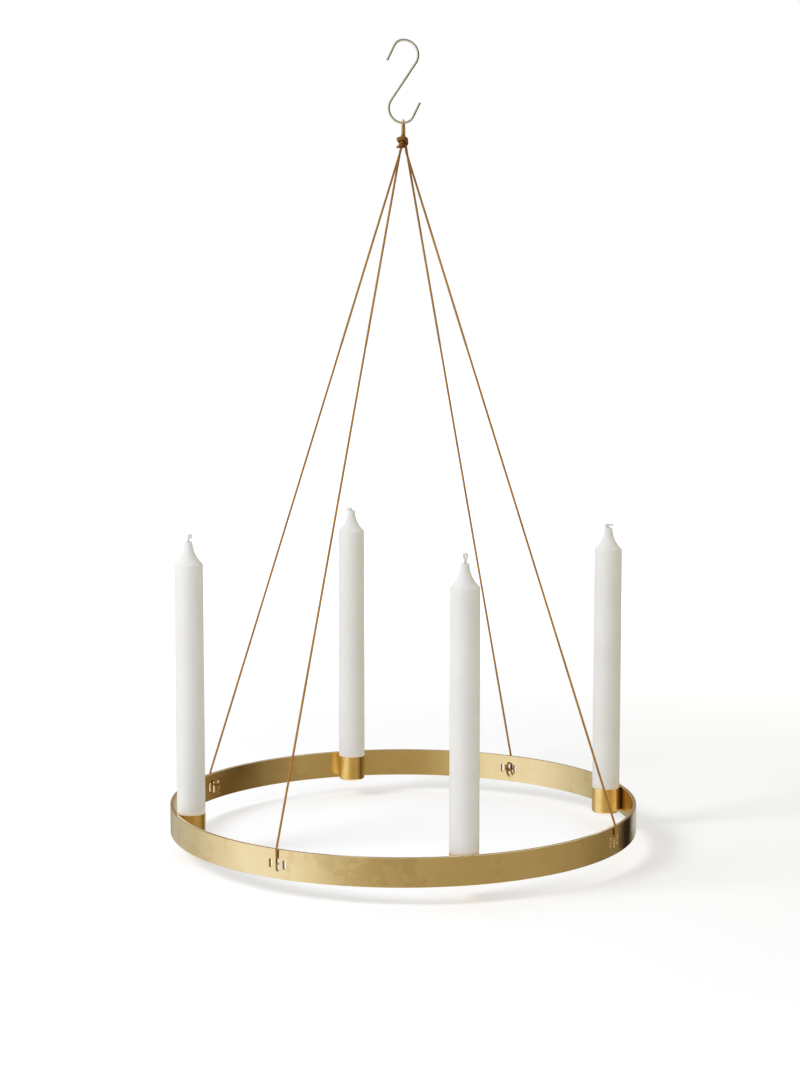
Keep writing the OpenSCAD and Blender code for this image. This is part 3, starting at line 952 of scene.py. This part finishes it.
def studio_cards():
    """A drum round the set, whose tones run from straight behind it by the right and the camera
    to the left. Inside it: flags that darken the right of the band's outer side, the band's
    inner side and the hook, a card that lights the hook from the left, one behind that tones
    the band's upper edge, and two cards for the matt things. These shade the knot's right side
    and tint the right sides of the candles."""
    turn = [90 - 360 * k / DRUM_STEPS for k in range(DRUM_STEPS + 1)]
    card("drum_card", [(at / 360, tone) for at, tone in (
        (0, (0.50, 0.50, 0.46)),
        (25, (0.62, 0.63, 0.60)),
        (48, (0.24, 0.165, 0.055)),
        (74, (0.21, 0.145, 0.05)),
        (85, (0.345, 0.265, 0.135)),
        (103, (0.38, 0.30, 0.16)),
        (122, (0.43, 0.34, 0.185)),
        (160, (0.445, 0.355, 0.195)),
        (190, (0.485, 0.395, 0.23)),
        (207, (0.64, 0.56, 0.38)),
        (219, (0.84, 0.79, 0.65)),
        (232, (0.97, 0.94, 0.85)),
        (258, (1.0, 1.0, 0.97)),
        (276, (0.85, 0.83, 0.76)),
        (292, (0.66, 0.63, 0.54)),
        (330, (0.50, 0.49, 0.42)),
        (350, (0.37, 0.35, 0.29)),
    )], [(DRUM_R * cosd(a), DRUM_R * sind(a)) for a in turn], low=-2.4, high=0.45)
    card("stripe_flag", [
        (0.0, (0.30, 0.23, 0.115)),
        (0.25, (0.245, 0.185, 0.095)),
        (0.38, (0.27, 0.20, 0.115)),
        (0.44, (0.23, 0.17, 0.09)),
        (0.48, (0.008, 0.005, 0.002)),
        (0.86, (0.006, 0.004, 0.002)),
        (0.92, (0.25, 0.25, 0.20)),
        (1.0, (0.55, 0.56, 0.50)),
    ], line(x=0.35, start=-0.10, reach=0.385, steps=8), low=-0.752, high=-0.5)
    card("inner_flag", [
        (0.0, (0.33, 0.255, 0.13)),
        (0.3, (0.25, 0.18, 0.085)),
        (0.6, (0.20, 0.13, 0.05)),
        (0.76, (0.145, 0.075, 0.015)),
        (0.86, (0.13, 0.065, 0.013)),
        (1.0, (0.20, 0.14, 0.06)),
    ], line(x=0.35, start=-0.06, reach=0.40, steps=8), low=-0.95, high=-0.757)
    card("left_inner_flag", [
        (0.0, (0.74, 0.72, 0.64)),
        (0.27, (0.52, 0.49, 0.40)),
        (0.51, (0.42, 0.36, 0.25)),
        (1.0, (0.40, 0.35, 0.25)),
    ], line(x=-0.35, start=0.2, reach=0.5, steps=8), low=-0.95, high=-0.757)
    card("hook_flag", [
        (0.0, (0.12, 0.115, 0.085)),
        (0.4, (0.02, 0.018, 0.013)),
        (1.0, (0.02, 0.018, 0.013)),
    ], line(x=0.14, start=-0.3, reach=0.65, steps=4), low=-0.14, high=0.12)
    card("hook_card", [
        (0.0, (0.72, 0.71, 0.64)),
        (0.4, (0.95, 0.95, 0.88)),
        (1.0, (0.95, 0.95, 0.88)),
    ], line(x=-0.14, start=-0.7, reach=1.0, steps=8), low=-0.2, high=0.14)
    card("knot_flag", [
        (0.0, (0.06, 0.04, 0.02)),
        (1.0, (0.06, 0.04, 0.02)),
    ], line(x=0.035, start=-0.08, reach=0.16, steps=4), low=-0.15, high=-0.055, for_metal=False)
    card("rim_card", [
        (0.0, (0.36, 0.27, 0.19)),
        (1.0, (0.36, 0.27, 0.19)),
    ], [(RIM_CARD_R * cosd(a), RIM_CARD_R * sind(a)) for a in range(10, 171, 8)],
        low=-0.55, high=0.0)
    card("warm_card", [
        (0.0, (0.52, 0.455, 0.24)),
        (1.0, (0.55, 0.45, 0.18)),
    ], line(x=0.9, start=-0.75, reach=1.8, steps=4), low=-1.5, high=0.4, for_metal=False)


LAMP_AT = Vector((-1.7, -0.9, 1.05))
LAMP_AIM = Vector((0, 0, -0.55))
LAMP_WATTS = 22.2


def soft_lamp():
    """A wide soft key from above, left of the camera."""
    data = bpy.data.lights.new("key_lamp", "AREA")
    data.shape = "DISK"
    data.size = 1.0
    data.energy = LAMP_WATTS
    data.color = (1.0, 0.995, 0.985)
    lamp = bpy.data.objects.new("key_lamp", data)
    bpy.context.scene.collection.objects.link(lamp)
    lamp.visible_glossy = False
    turn = (LAMP_AIM - LAMP_AT).to_track_quat("-Z", "Y").to_matrix().to_4x4()
    lamp.matrix_world = Matrix.Translation(LAMP_AT) @ turn


studio_world()
pale_floor()
studio_cards()
dark_ceiling()
soft_lamp()

bpy.context.scene.view_settings.view_transform = "Standard"
